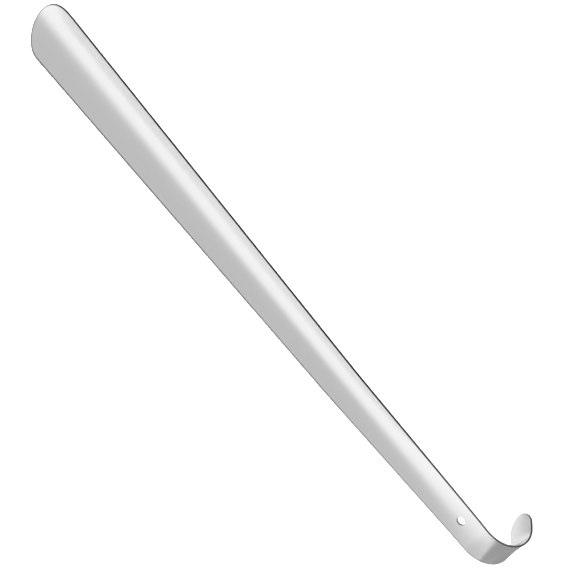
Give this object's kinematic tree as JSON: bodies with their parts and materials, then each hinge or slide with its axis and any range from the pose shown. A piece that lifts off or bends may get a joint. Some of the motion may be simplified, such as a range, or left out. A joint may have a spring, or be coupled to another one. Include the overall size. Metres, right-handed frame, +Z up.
{
  "type": "long shoehorn",
  "caption": "Long steel shoehorn: hollow tapering strip with a round blade end, a hanging hole and a hook bent round at the top.",
  "frame": {"origin": "bottom centre of the bounding box of the shoehorn as it lies hollow side up, on the blade's end and the end of the hook's lip", "axes": "+X from the blade's end towards the hook, +Y across the strip, +Z up, out of the hollow; the XZ plane is the mirror plane"},
  "size_m": [0.4503, 0.0462, 0.0464],
  "materials": {
    "steel": "satin stainless steel, fine grain along the strip"
  },
  "bodies": {
    "root": {"steel_horn": "steel"}
  },
  "joints": []
}
